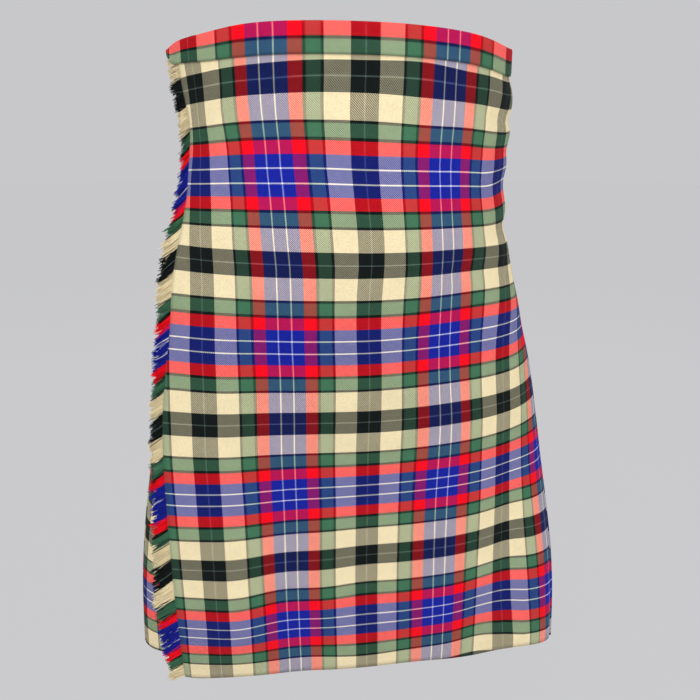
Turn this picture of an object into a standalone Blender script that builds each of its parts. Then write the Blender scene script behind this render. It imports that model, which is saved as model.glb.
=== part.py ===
# A Scottish kilt in the shape that it has when it is worn, with nobody in it. Metres, +Z up.
# The origin is the middle of the waist, halfway up the waistband, where the body holds it.
# The fringed apron faces -Y, and +X is on the right of someone who looks at that apron.
# In plan the whole garment is one line of cloth: it starts at the fringed edge, crosses the
# front, runs in knife pleats round the back and ends as the under apron behind the first one.

import math
import random
from functools import lru_cache

import bmesh
import bpy
import numpy as np
from mathutils import Matrix, Vector

# Driving sizes
LENGTH = 0.62
BAND_HEIGHT = 0.024
TOP = BAND_HEIGHT / 2
CLOTH = 0.0012
SEAM_GAP = 0.0003
LAYER_GAP = 0.0004
LAYER = CLOTH + LAYER_GAP
STEP_IN = 2 * LAYER
PLEATS = 22
UNDER_END = 0.105
LAST_PLEAT_BACK = 0.012
BAND_PAST_EDGE = 0.014

# How the walls are drawn: the points of a quarter of the line in plan, how far apart its
# direction is measured, and the faces across each apron.
QUARTER_POINTS = 90
DIRECTION_REACH = 0.002
APRON_FACES = 22
UNDER_FACES = 18

# Sections of the cloth, one row for each drop below the top edge: half the width, the line of
# the widest points, the front and the back along Y, and the squareness of the right front. The
# wing is the free left half of the fringed apron, part is how far the under apron hangs behind
# it, and the last two are how far the fringed apron reaches from its middle to its edges. The
# back and the under apron are as square as the last two lines say at every drop, and the end
# of the under apron lies a little inside the cloth of the right side.
SECTION_COLUMNS = (
    "drop", "half", "side", "front", "back", "power",
    "wing_half", "wing_power", "part", "left_edge", "right_edge",
)
SECTIONS = (
    (0.000, 0.1510, 0.000, -0.1300, 0.108, 2.20, 0.172, 2.30, 0.007, 0.178, 0.172),
    (0.024, 0.1510, 0.000, -0.1305, 0.111, 2.20, 0.172, 2.30, 0.007, 0.177, 0.174),
    (0.084, 0.1475, 0.000, -0.1360, 0.119, 2.20, 0.170, 2.32, 0.007, 0.169, 0.177),
    (0.139, 0.1460, 0.000, -0.1420, 0.128, 2.25, 0.189, 2.45, 0.007, 0.167, 0.181),
    (0.205, 0.1540, 0.002, -0.1430, 0.135, 2.40, 0.213, 2.60, 0.008, 0.174, 0.185),
    (0.285, 0.1820, 0.006, -0.1290, 0.140, 2.50, 0.228, 2.90, 0.010, 0.182, 0.190),
    (0.406, 0.2120, 0.013, -0.1100, 0.146, 2.80, 0.250, 3.50, 0.013, 0.188, 0.198),
    (0.555, 0.2360, 0.022, -0.0985, 0.153, 3.60, 0.262, 3.40, 0.017, 0.187, 0.207),
    (0.620, 0.2400, 0.026, -0.0890, 0.156, 4.00, 0.250, 3.00, 0.018, 0.184, 0.210),
)

REAR_POWER = 2.2
UNDER_POWER = 2.0
END_INSIDE = 0.014

# Soft folds of the fringed apron: where the crest is along the cloth, how wide it is, the drop
# at which it starts and at which it is highest, and its height there and at the hem. A trough
# has negative heights.
FOLD_COLUMNS = ("along", "width", "start", "full", "height", "hem_height")
FOLDS = (
    (-0.122, 0.036, 0.285, 0.555, 0.009, 0.004),
    (-0.063, 0.032, 0.285, 0.555, -0.004, -0.003),
    (0.052, 0.040, 0.285, 0.555, 0.002, 0.002),
    (0.160, 0.030, 0.285, 0.555, -0.009, -0.005),
)

# The waist dips a little at the two front corners: where along the cloth, how wide, and how
# deep at the top edge. The dips fade out by the drop that is given here.
DIP_COLUMNS = ("along", "width", "depth")
DIPS = (
    (-0.200, 0.026, 0.011),
    (-0.155, 0.045, 0.007),
    (0.152, 0.048, 0.008),
)
DIP_END = 0.20

# The fringe
FRINGE_LOCKS = 96
FRINGE_START = 0.015
FRINGE_END = 0.606
BACKING_UNDER = 0.006
BACKING_OUT = 0.0015
BEHIND_APRON = -CLOTH - 0.0013
LOCK_SEED = 7

# A lock of yarn has two lengths: how long each is, how much it tapers and how much more or
# less it droops than the lock as a whole. A lock droops more the lower it is, up to a drop,
# and a little less beside the hem.
LOCK_COLUMNS = ("length", "taper", "droop")
LOCK_PARTS = (
    (0.010, 0.90, 0.85),
    (0.011, 0.35, 1.35),
)
TOP_DROOP = 0.22
LOW_DROOP = 0.80
FULL_DROOP_DROP = 0.20
HEM_ZONE = 0.030
HEM_DROOP = 0.80
DROOP_SPREAD = 0.04
LENGTH_SPREAD = 0.15
BACK_SPREAD = 0.12

# The straps and buckles. The outs are distances out of the cloth's line.
STRAP_WIDTH = 0.021
LEATHER = 0.0022
ROD = 0.0014
PRONG = 0.0010
FRAME_LENGTH = 0.020
FRAME_WIDTH = 0.0275
FRAME_CORNER = 0.004
CORNER_STEPS = 3
TAB_LENGTH = 0.034
TAB_FACES = 4
STRAP_FACES = 4
TAB_GAP = 6 * SEAM_GAP
BAND_OUT = CLOTH + SEAM_GAP
ON_BAND = BAND_OUT + CLOTH / 2 + 2 * SEAM_GAP
LEATHER_OUT = ON_BAND + LEATHER / 2
HEEL_OUT = ON_BAND + ROD
NOSE_RISE = 0.0047
NOSE_OUT = HEEL_OUT + NOSE_RISE
HOLE_RADIUS = 0.0018
HOLE_LENGTHEN = 3.0
HOLE_DEPTH = 0.02
HOLE_SIDES = 16

# The two fastenings: the middle of the buckle's frame, from the fringed apron's right edge or
# from the left side, which way the strap's tip points along the cloth, and where it starts.
RIGHT_BUCKLE = 0.075
LEFT_BUCKLE = -0.020
RIGHT_STRAP_START = -0.045
LEFT_STRAP_START = -0.072

# The strap's way through the buckle: how far along from the middle of its frame, and how far
# the leather is lifted off the waistband. It goes under the nose, over the heel and on over
# the tab that holds the buckle.
STRAP_COLUMNS = ("along", "lift")
STRAP_ROUTE = (
    (-0.030, 0.0000),
    (-0.016, 0.0000),
    (-0.010, 0.0005),
    (0.003, 0.0034),
    (0.010, 0.0036),
    (0.016, 0.0034),
    (0.024, 0.0028),
    (0.034, 0.0027),
    (0.046, 0.0027),
)

# The prong: how far along from the middle of the frame, and how far out of the heel's middle.
PRONG_COLUMNS = ("along", "out")
PRONG_ROUTE = (
    (0.0067, -0.0002),
    (0.0035, 0.0006),
    (0.0000, 0.0022),
    (-0.0045, 0.0062),
    (-0.0100, 0.0074),
    (-0.0118, 0.0074),
)


def table(columns, rows):
    return {name: np.array(values) for name, values in zip(columns, zip(*rows))}


SECTION = table(SECTION_COLUMNS, SECTIONS)
FOLD = table(FOLD_COLUMNS, FOLDS)
DIP = table(DIP_COLUMNS, DIPS)
LOCK = table(LOCK_COLUMNS, LOCK_PARTS)
STRAP = table(STRAP_COLUMNS, STRAP_ROUTE)
PRONG_LINE = table(PRONG_COLUMNS, PRONG_ROUTE)
ROWS = tuple(SECTION["drop"])


def value(name, drop):
    return float(np.interp(drop, SECTION["drop"], SECTION[name]))


def quarter(half, depth, power):
    # From the point on the Y axis, at distance depth, round to the widest point.
    turn = np.linspace(0, math.pi / 2, QUARTER_POINTS)
    return half * np.sin(turn) ** (2 / power), depth * np.cos(turn) ** (2 / power)


@lru_cache(maxsize=None)
def cloth_line(drop):
    # Points of the cloth's line in plan and their distance along it, which is zero at the
    # middle of the fringed apron.
    half, side = value("half", drop), value("side", drop)
    front, back = value("front", drop), value("back", drop)
    under = front + value("part", drop)
    wing = quarter(value("wing_half", drop), side - front, value("wing_power", drop))
    right = quarter(half, side - front, value("power", drop))
    rear = quarter(half, back - side, REAR_POWER)
    left = quarter(half, side - under, UNDER_POWER)
    inner = quarter(half - END_INSIDE, side - under, value("power", drop))
    stretches = (
        (-wing[0][::-1], side - wing[1][::-1]),
        (right[0], side - right[1]),
        (rear[0][::-1], side + rear[1][::-1]),
        (-rear[0], side + rear[1]),
        (-left[0][::-1], side - left[1][::-1]),
        (inner[0], side - inner[1]),
    )
    x = np.concatenate([stretch[0][1:] for stretch in stretches])
    y = np.concatenate([stretch[1][1:] for stretch in stretches])
    nose = len(wing[0]) - 2
    left_side = nose + len(right[0]) + len(rear[0]) + len(rear[0]) - 3
    under_nose = left_side + len(left[0]) - 1
    along = distances(x, y, nose)
    out = fold_out(drop, along)
    travel = np.hypot(np.gradient(x), np.gradient(y))
    x, y = x + out * np.gradient(y) / travel, y - out * np.gradient(x) / travel
    along = distances(x, y, nose)
    return x, y, along, along[left_side], along[under_nose]


def distances(x, y, start):
    along = np.concatenate([[0], np.cumsum(np.hypot(np.diff(x), np.diff(y)))])
    return along - along[start]


def plan(drop, along, out):
    # The point at a distance along the cloth, moved out of the garment.
    x, y, arc, _, _ = cloth_line(drop)
    ends = np.array((along - DIRECTION_REACH, along + DIRECTION_REACH))
    travel = np.array((np.diff(np.interp(ends, arc, x))[0], np.diff(np.interp(ends, arc, y))[0]))
    travel /= np.linalg.norm(travel)
    here = np.array((np.interp(along, arc, x), np.interp(along, arc, y)))
    return here + out * np.array((travel[1], -travel[0]))


def fold_out(drop, along):
    # How far the soft folds move the fringed apron out at these distances along it.
    grown = np.clip((drop - FOLD["start"]) / (FOLD["full"] - FOLD["start"]), 0, 1)
    late = np.clip((drop - FOLD["full"]) / (LENGTH - FOLD["full"]), 0, 1)
    height = FOLD["height"] * grown + (FOLD["hem_height"] - FOLD["height"]) * late
    away = (along[:, None] - FOLD["along"]) / FOLD["width"]
    return np.sum(height * np.exp(-away ** 2), axis=1)


def height(drop, along):
    # The height of the cloth's point, with the waist's dips.
    fade = max(0.0, 1 - drop / DIP_END)
    away = (along - DIP["along"]) / DIP["width"]
    return TOP - drop - fade * float(np.sum(DIP["depth"] * np.exp(-away ** 2)))


def evenly(first, last, faces):
    return [first + (last - first) * step / faces for step in range(faces + 1)]


def left_edge(drop):
    return -value("left_edge", drop)


def right_edge(drop):
    return value("right_edge", drop)


def pleat_start(drop, number):
    # Where the face of a pleat comes out. The face of the last one ends at the left side.
    first = right_edge(drop)
    last = cloth_line(drop)[3] - LAST_PLEAT_BACK
    return first + (last - first) * number / PLEATS


def pleat_width(drop):
    return pleat_start(drop, 1) - pleat_start(drop, 0)


def material(name, colour, roughness, metallic=0.0):
    made = bpy.data.materials.new(name)
    made.use_nodes = True
    shader = made.node_tree.nodes["Principled BSDF"]
    shader.inputs["Base Color"].default_value = (*colour, 1)
    shader.inputs["Roughness"].default_value = roughness
    shader.inputs["Metallic"].default_value = metallic
    return made


def clear_scene():
    for thing in list(bpy.data.objects):
        bpy.data.objects.remove(thing, do_unlink=True)


def collection(name):
    made = bpy.data.collections.new(name)
    bpy.context.scene.collection.children.link(made)
    return made


def add_object(name, data, group, finish):
    made = bpy.data.objects.new(name, data)
    group.objects.link(made)
    if finish:
        data.materials.append(finish)
    return made


def wall(name, drops, path, thickness, group, finish):
    # A wall of cloth or leather: a surface through one path for each drop, made thick on
    # both sides. A path is a list of distances along the cloth and out of it.
    mesh = bmesh.new()
    grid = []
    for drop in drops:
        line = []
        for along, out in path(drop):
            x, y = plan(drop, along, out)
            line.append(mesh.verts.new((x, y, height(drop, along))))
        grid.append(line)
    forward = [after[0] > here[0] for here, after in zip(path(0), path(0)[1:])]
    for upper, lower in zip(grid, grid[1:]):
        for left, onward in enumerate(forward):
            corners = (upper[left], lower[left], lower[left + 1], upper[left + 1])
            split_face(mesh, corners, onward)
    data = bpy.data.meshes.new(name)
    mesh.to_mesh(data)
    mesh.free()
    made = add_object(name, data, group, finish)
    solid = made.modifiers.new("thickness", "SOLIDIFY")
    solid.thickness = thickness
    solid.offset = 0
    solid.use_even_offset = True
    solid.use_quality_normals = True
    data.shade_smooth()
    return made


def split_face(mesh, corners, onward):
    # Two triangles. Their shared side slants the same way in each layer of cloth, so that
    # layers which lie on each other stay the same distance apart.
    a, b, c, d = corners
    if onward:
        mesh.faces.new((a, b, c))
        mesh.faces.new((a, c, d))
    else:
        mesh.faces.new((a, b, d))
        mesh.faces.new((b, c, d))


def knife_edge(edge, width):
    # The turned edge of a pleat and the layer that goes back under it.
    nose = LAYER / 2
    return [
        (edge - nose, 0),
        (edge, -nose),
        (edge - nose, -LAYER),
        (edge - width / 2, -LAYER - STEP_IN / 2),
        (edge - width, -LAYER - STEP_IN),
    ]


def apron_flat(drop):
    # The fringed apron's points between its fringe and its knife edge.
    last = right_edge(drop) - pleat_width(drop) / 2
    return evenly(left_edge(drop), last, APRON_FACES)


def apron_path(drop):
    flat = [(along, 0) for along in apron_flat(drop)]
    return flat + knife_edge(right_edge(drop), pleat_width(drop))


def pleat_path(number):
    def path(drop):
        start, end = pleat_start(drop, number), pleat_start(drop, number + 1)
        width = pleat_width(drop)
        layers = [(start + width * step / 2, -STEP_IN * (2 - step) / 2) for step in range(-2, 2)]
        return layers + knife_edge(end, width)

    return path


def under_path(drop):
    edge = pleat_start(drop, PLEATS)
    width = pleat_width(drop)
    end = cloth_line(drop)[4] + UNDER_END
    path = [(edge - width, -2 * STEP_IN), (edge - width / 2, -1.5 * STEP_IN)]
    return path + [(along, -STEP_IN) for along in evenly(edge, end, UNDER_FACES)]


def band_path(drop):
    # Over the fringed apron, then over the pleats, with a point at each edge and middle.
    first = left_edge(drop)
    free_end = evenly(first - BAND_PAST_EDGE, first, 2)[:-1]
    path = [(along, BAND_OUT) for along in free_end + apron_flat(drop)]
    for number in range(PLEATS):
        start, end = pleat_start(drop, number), pleat_start(drop, number + 1)
        path += [(start, BAND_OUT), ((start + end) / 2, BAND_OUT)]
    return path + [(pleat_start(drop, PLEATS), BAND_OUT)]


def under_band_path(drop):
    return [(along, out + BAND_OUT) for along, out in under_path(drop)[3:]]


def fringe(group, finish):
    # A narrow strip behind the apron's edge. Every second face of its outer side is drawn
    # out as a lock of yarn that tapers and droops.
    chance = random.Random(LOCK_SEED)
    mesh = bmesh.new()
    count = 2 * FRINGE_LOCKS
    rings = []
    for step in range(count + 1):
        drop = FRINGE_START + (FRINGE_END - FRINGE_START) * step / count
        ring = []
        for in_from_edge, out in (
            (BACKING_UNDER, BEHIND_APRON - CLOTH / 2),
            (BACKING_UNDER, BEHIND_APRON + CLOTH / 2),
            (-BACKING_OUT, BEHIND_APRON + CLOTH / 2),
            (-BACKING_OUT, BEHIND_APRON - CLOTH / 2),
        ):
            x, y = row_point(drop, near_edge(in_from_edge, out))
            z = height(drop, left_edge(drop) + in_from_edge)
            ring.append(mesh.verts.new((x, y, z)))
        rings.append(ring)
    roots = []
    for step, (upper, lower) in enumerate(zip(rings, rings[1:])):
        for side in range(4):
            after = (side + 1) % 4
            face = mesh.faces.new((upper[side], upper[after], lower[after], lower[side]))
            if side == 2 and step % 2 == 0:
                roots.append(face)
    mesh.faces.new(rings[0][::-1])
    mesh.faces.new(rings[-1])
    for face in roots:
        draw_lock(mesh, face, chance)
    bmesh.ops.recalc_face_normals(mesh, faces=mesh.faces)
    data = bpy.data.meshes.new("apron_fringe")
    mesh.to_mesh(data)
    mesh.free()
    return add_object("apron_fringe", data, group, finish)


def row_point(drop, place):
    # The wall between two rows is straight, so a point between them is mixed from both.
    # The place gives the distance along the cloth and out of it at a row.
    below = min(range(1, len(ROWS)), key=lambda row: (ROWS[row] < drop, row))
    upper, lower = ROWS[below - 1], ROWS[below]
    share = (drop - upper) / (lower - upper)
    return plan(upper, *place(upper)) * (1 - share) + plan(lower, *place(lower)) * share


def near_edge(in_from_edge, out):
    def place(row):
        return left_edge(row) + in_from_edge, out

    return place


def draw_lock(mesh, face, chance):
    drop = TOP - face.calc_center_median().z
    outward = row_point(drop, near_edge(0, 0)) - row_point(drop, near_edge(0.01, 0))
    outward = Vector((*(outward / np.linalg.norm(outward)), 0))
    droop = TOP_DROOP + (LOW_DROOP - TOP_DROOP) * min(drop / FULL_DROOP_DROP, 1)
    droop += chance.uniform(-DROOP_SPREAD, DROOP_SPREAD)
    if drop > FRINGE_END - HEM_ZONE:
        droop *= HEM_DROOP
    stretch = 1 + chance.uniform(-LENGTH_SPREAD, LENGTH_SPREAD)
    back = Vector((0, chance.uniform(0, BACK_SPREAD), 0))
    for length, taper, more in zip(LOCK["length"], LOCK["taper"], LOCK["droop"]):
        drawn = bmesh.ops.extrude_discrete_faces(mesh, faces=[face])
        face = drawn["faces"][0]
        way = outward + back + Vector((0, 0, -droop * more))
        way.normalize()
        bmesh.ops.translate(mesh, vec=way * length * stretch, verts=face.verts)
        middle = face.calc_center_median()
        shrink = Matrix.Diagonal((taper, taper, taper, 1))
        about = Matrix.Translation(middle) @ shrink @ Matrix.Translation(-middle)
        bmesh.ops.transform(mesh, matrix=about, verts=face.verts)


def side_frame(along):
    # Where a buckle sits on the waistband: its X runs along the cloth and its Z points out.
    drop = BAND_HEIGHT / 2
    here = plan(drop, along, 0)
    travel = plan(drop, along + 0.01, 0) - plan(drop, along - 0.01, 0)
    travel = Vector((*travel, 0)).normalized()
    outward = Vector((travel.y, -travel.x, 0))
    frame = Matrix((travel, Vector((0, 0, 1)), outward)).transposed().to_4x4()
    frame.translation = Vector((*here, 0))
    return frame


def rod(name, points, radius, closed, group, finish):
    curve = bpy.data.curves.new(name, "CURVE")
    curve.dimensions = "3D"
    curve.bevel_depth = radius
    curve.bevel_resolution = 1
    curve.use_fill_caps = True
    line = curve.splines.new("POLY")
    line.points.add(len(points) - 1)
    for point, place in zip(line.points, points):
        point.co = (*place, 1)
    line.use_cyclic_u = closed
    return add_object(name, curve, group, finish)


def buckle_points(way):
    # A rectangle with round corners. Its nose side stands higher than its heel side, because
    # the strap goes under the nose and over the heel.
    long, high = FRAME_LENGTH / 2 - FRAME_CORNER, FRAME_WIDTH / 2 - FRAME_CORNER
    points = []
    for corner, (x, z) in enumerate(((1, 1), (-1, 1), (-1, -1), (1, -1))):
        for step in range(CORNER_STEPS + 1):
            turn = math.pi / 2 * (corner + step / CORNER_STEPS)
            place_x = x * long + FRAME_CORNER * math.cos(turn)
            place_z = z * high + FRAME_CORNER * math.sin(turn)
            share = 0.5 - place_x / FRAME_LENGTH
            points.append((way * place_x, place_z, HEEL_OUT + NOSE_RISE * share))
    return points


def fastening(side, centre, way, strap_start, group, cutters, finishes):
    # A strap, the tab that holds the buckle, the buckle's frame and its prong. The strap
    # comes from the -way side.
    middle = BAND_HEIGHT / 2
    drops = (middle - STRAP_WIDTH / 2, middle + STRAP_WIDTH / 2)

    def strap_path(_):
        free = [(start, 0) for start in evenly(strap_start, STRAP["along"][0], STRAP_FACES)[:-1]]
        route = free + list(zip(STRAP["along"], STRAP["lift"]))
        return [(centre + way * along, LEATHER_OUT + lift) for along, lift in route]

    def tab_path(_):
        start = FRAME_LENGTH / 2 + ROD + TAB_GAP
        steps = evenly(start, start + TAB_LENGTH, TAB_FACES)
        return [(centre + way * along, LEATHER_OUT) for along in steps]

    strap = wall(side + "_strap", drops, strap_path, LEATHER, group, finishes["leather"])
    wall(side + "_buckle_tab", drops, tab_path, LEATHER, group, finishes["leather"])
    frame = side_frame(centre)
    buckle = rod(side + "_buckle", buckle_points(way), ROD, True, group, finishes["metal"])
    buckle.matrix_world = frame
    prong_line = zip(way * PRONG_LINE["along"], HEEL_OUT + PRONG_LINE["out"])
    prong_points = [(along, 0, out) for along, out in prong_line]
    prong = rod(side + "_prong", prong_points, PRONG, False, group, finishes["metal"])
    prong.matrix_world = frame
    punch_hole(strap, side + "_strap_hole", frame, cutters)


def punch_hole(strap, name, frame, cutters):
    # The long hole for the prong, in the middle of the buckle's frame.
    hole = bmesh.new()
    bmesh.ops.create_cone(
        hole,
        cap_ends=True,
        segments=HOLE_SIDES,
        radius1=HOLE_RADIUS,
        radius2=HOLE_RADIUS,
        depth=HOLE_DEPTH,
    )
    bmesh.ops.scale(hole, vec=(HOLE_LENGTHEN, 1, 1), verts=hole.verts)
    data = bpy.data.meshes.new(name)
    hole.to_mesh(data)
    hole.free()
    cutter = add_object(name, data, cutters, None)
    cutter.matrix_world = frame @ Matrix.Translation((0, 0, NOSE_OUT))
    cutter.hide_render = True
    cutter.display_type = "WIRE"
    cut = strap.modifiers.new("prong hole", "BOOLEAN")
    cut.object = cutter
    cut.operation = "DIFFERENCE"
    cut.solver = "EXACT"


def main():
    clear_scene()
    kilt = collection("scottish_kilt")
    cutters = collection("cutters")
    cutters.hide_render = True
    finishes = {
        "apron": material("red tartan cloth", (0.62, 0.06, 0.08), 0.85),
        "pleat": material("blue tartan cloth", (0.08, 0.10, 0.42), 0.85),
        "band": material("green tartan cloth", (0.07, 0.22, 0.12), 0.85),
        "yarn": material("cream yarn", (0.85, 0.74, 0.48), 0.9),
        "leather": material("black leather", (0.02, 0.02, 0.02), 0.45),
        "metal": material("nickel plate", (0.62, 0.60, 0.57), 0.25, 1.0),
    }
    wall("front_apron", ROWS, apron_path, CLOTH, kilt, finishes["apron"])
    for number in range(PLEATS):
        name = "pleat_%02d" % (number + 1)
        wall(name, ROWS, pleat_path(number), CLOTH, kilt, finishes["pleat"])
    wall("under_apron", ROWS, under_path, CLOTH, kilt, finishes["apron"])
    band = (0, BAND_HEIGHT)
    wall("waistband", band, band_path, CLOTH, kilt, finishes["band"])
    wall("under_waistband", band, under_band_path, CLOTH, kilt, finishes["band"])
    fringe(kilt, finishes["yarn"])
    middle = BAND_HEIGHT / 2
    right_buckle = right_edge(middle) + RIGHT_BUCKLE
    left_buckle = cloth_line(middle)[3] + LEFT_BUCKLE
    fastening("right", right_buckle, 1, RIGHT_STRAP_START, kilt, cutters, finishes)
    fastening("left", left_buckle, -1, LEFT_STRAP_START, kilt, cutters, finishes)


main()
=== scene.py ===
import math
from functools import lru_cache

import bpy
import numpy as np
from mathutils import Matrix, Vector


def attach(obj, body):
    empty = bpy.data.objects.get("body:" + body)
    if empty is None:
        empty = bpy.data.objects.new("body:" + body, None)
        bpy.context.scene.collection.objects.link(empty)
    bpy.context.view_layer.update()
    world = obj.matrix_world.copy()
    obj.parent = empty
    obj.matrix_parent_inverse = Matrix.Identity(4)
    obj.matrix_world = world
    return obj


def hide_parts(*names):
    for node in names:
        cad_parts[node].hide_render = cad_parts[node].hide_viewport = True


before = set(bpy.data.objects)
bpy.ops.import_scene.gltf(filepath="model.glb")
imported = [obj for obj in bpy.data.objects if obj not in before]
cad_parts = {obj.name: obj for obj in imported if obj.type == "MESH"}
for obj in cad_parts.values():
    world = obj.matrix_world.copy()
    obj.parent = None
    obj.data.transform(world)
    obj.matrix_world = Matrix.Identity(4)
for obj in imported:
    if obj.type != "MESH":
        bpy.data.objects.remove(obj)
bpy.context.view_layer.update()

# A kilt in its worn shape. Along is the distance along the cloth, zero at the middle of the
# fringed apron and growing to the right, round the back and in under the apron. Drop is the
# distance below the top edge. Out is how far a point stands out of the line of the cloth.
kilt = {
    "length": 0.62,
    "bandHeight": 0.024,
    "layer": 0.0016,  # between the two layers of a pressed edge
    "stepIn": 0.0032,  # from a piece to the hidden layer behind it
    "turnSteps": 6,
    "pleats": 22,
    "hipDrop": 0.205,
    "lastPleatBack": 0.012,  # the last pleat ends this far before the left side
    "underEnd": 0.105,  # the under apron goes this far past the middle of the front
    "endInside": 0.014,
    "rearPower": 2.2,
    "underPower": 2.0,
    "cloth": 0.0009,  # how thick the wool is
    "rows": 104,
}
top = kilt["bandHeight"] / 2

# The kilt's section at some drops: half its width, how far back its sides are, its front and
# back, and how square it is; the same for the free wing at the left; the gap between the two
# aprons; and where the apron's two edges are along the cloth.
sectionColumns = ("drop", "half", "side", "front", "back", "power",
                  "wingHalf", "wingPower", "part", "leftEdge", "rightEdge")
sectionRows = (
    (0.000, 0.1510, 0.000, -0.1300, 0.108, 2.20, 0.172, 2.30, 0.007, 0.178, 0.172),
    (0.024, 0.1510, 0.000, -0.1305, 0.111, 2.20, 0.172, 2.30, 0.007, 0.177, 0.174),
    (0.084, 0.1475, 0.000, -0.1360, 0.119, 2.20, 0.170, 2.32, 0.007, 0.169, 0.177),
    (0.139, 0.1460, 0.000, -0.1420, 0.128, 2.25, 0.189, 2.45, 0.007, 0.167, 0.181),
    (0.205, 0.1540, 0.002, -0.1430, 0.135, 2.40, 0.213, 2.60, 0.008, 0.174, 0.185),
    (0.285, 0.1820, 0.006, -0.1290, 0.140, 2.50, 0.228, 2.90, 0.010, 0.182, 0.190),
    (0.406, 0.2120, 0.013, -0.1100, 0.146, 2.80, 0.250, 3.50, 0.013, 0.188, 0.198),
    (0.555, 0.2360, 0.022, -0.0985, 0.153, 3.60, 0.262, 3.40, 0.017, 0.187, 0.207),
    (0.620, 0.2400, 0.026, -0.0890, 0.156, 4.00, 0.250, 3.00, 0.018, 0.184, 0.210),
)

# Soft folds: where the crest is along the cloth, how wide, the drop where it starts and where
# it is highest, and its height there and at the hem. Troughs have negative heights.
foldColumns = ("along", "width", "start", "full", "height", "hemHeight")
foldRows = (
    (-0.122, 0.036, 0.285, 0.555, 0.009, 0.004),
    (-0.063, 0.032, 0.285, 0.555, -0.004, -0.003),
    (0.052, 0.040, 0.285, 0.555, 0.002, 0.002),
    (0.160, 0.030, 0.285, 0.555, -0.009, -0.005),
)
# The waist dips at these places along the cloth, by this depth at the top edge.
dipColumns = ("along", "width", "depth")
dipRows = (
    (-0.200, 0.026, 0.011),
    (-0.155, 0.045, 0.0070),
    (0.085, 0.060, 0.0025),
    (0.152, 0.048, 0.008),
)
dipEnd = 0.20
# The left side hangs a little lower than the rest of the hem, and so do both front corners
sideSag = {"past": 0.012, "width": 0.075, "depth": 0.018, "power": 3}
sagColumns = ("along", "width", "depth")
sagRows = (
    (-0.178, 0.030, 0.0045),
    (-0.115, 0.030, -0.0022),
    (0.055, 0.036, -0.0026),
    (0.165, 0.028, 0.0022),
    (0.245, 0.045, 0.0150),
)
# The right side stands out by these millimetres, with a crease and two small folds. Lower
# down it is trimmed, and the apron's pressed edge reaches further round the side.
rightSide = {
    "trimDrops": (0.0, 0.30, 0.41, 0.62),
    "trims": (0.0, 0.0, 0.0022, 0.0020),
    "edgeDrops": (0.0, 0.25, 0.30, 0.35, 0.45, 0.62),
    "edges": (0.0, 0.0, 0.010, 0.020, 0.025, 0.025),
    "along": 0.175,
    "width": 0.055,
    "drops": (0.0, 0.027, 0.040, 0.054, 0.062, 0.075, 0.092, 0.105, 0.120, 0.150, 0.163, 0.177,
              0.205, 0.235, 0.265, 0.300, 0.350, 0.400, 0.620),
    "out": (0.0, 0.5, 4.2, 4.8, 2.8, 5.6, 3.4, 4.6, 2.4, 4.4, 1.6, 4.2,
            5.4, 5.4, 2.6, 1.6, 0.6, 0.0, 0.0),
}
# Soft folds of the pleated sides and back: where the crest is, in pleats from the right edge,
# how wide it is in pleats, where it starts and is highest, and its heights
sideFoldColumns = ("pleat", "width", "start", "full", "height", "hemHeight")
sideFoldRows = (
    (3.5, 1.1, 0.26, 0.58, 0.0050, 0.0060),
    (5.3, 0.8, 0.32, 0.60, -0.0040, -0.0055),
    (7.0, 1.3, 0.22, 0.52, 0.0065, 0.0045),
    (8.9, 0.9, 0.28, 0.60, -0.0045, -0.0035),
    (10.9, 1.4, 0.30, 0.56, 0.0035, 0.0060),
    (13.1, 1.0, 0.24, 0.58, -0.0050, -0.0065),
    (15.2, 1.3, 0.27, 0.54, 0.0060, 0.0050),
    (17.4, 0.8, 0.33, 0.60, -0.0035, -0.0050),
    (19.3, 1.2, 0.25, 0.57, 0.0050, 0.0055),
    (21.6, 0.9, 0.30, 0.60, -0.0030, -0.0045),
)


def columns(names, rows):
    return {name: np.array(values) for name, values in zip(names, zip(*rows))}


section = columns(sectionColumns, sectionRows)
fold = columns(foldColumns, foldRows)
dip = columns(dipColumns, dipRows)
sag = columns(sagColumns, sagRows)
sideFold = columns(sideFoldColumns, sideFoldRows)


def smoothCurve(x, y, at):
    # A smooth curve through the points of a table
    x, y = np.asarray(x), np.asarray(y)
    slope = np.gradient(y, x)
    k = np.clip(np.searchsorted(x, at) - 1, 0, len(x) - 2)
    width = x[k + 1] - x[k]
    t = np.clip((at - x[k]) / width, 0, 1)
    bend = width * (slope[k] * t * (1 - t) ** 2 - slope[k + 1] * t * t * (1 - t))
    return y[k] * (1 + 2 * t) * (1 - t) ** 2 + y[k + 1] * t * t * (3 - 2 * t) + bend


def sectionValue(name, drop):
    return float(smoothCurve(section["drop"], section[name], drop))


def quarterRound(half, depth, power, count=260):
    # From the middle of the front or back, at distance depth, to the widest point
    turn = np.linspace(0, math.pi / 2, count)
    reach = (np.sin(turn) ** power + np.cos(turn) ** power) ** (-1 / power)
    return half * reach * np.sin(turn), depth * reach * np.cos(turn)


def distances(x, y, start):
    along = np.concatenate([[0], np.cumsum(np.hypot(np.diff(x), np.diff(y)))])
    return along - along[start]


def foldHeights(table, drop):
    grown = np.clip((drop - table["start"]) / (table["full"] - table["start"]), 0, 1)
    grown = grown * grown * (3 - 2 * grown)
    late = np.clip((drop - table["full"]) / (kilt["length"] - table["full"]), 0, 1)
    return table["height"] * grown + (table["hemHeight"] - table["height"]) * late


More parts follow.
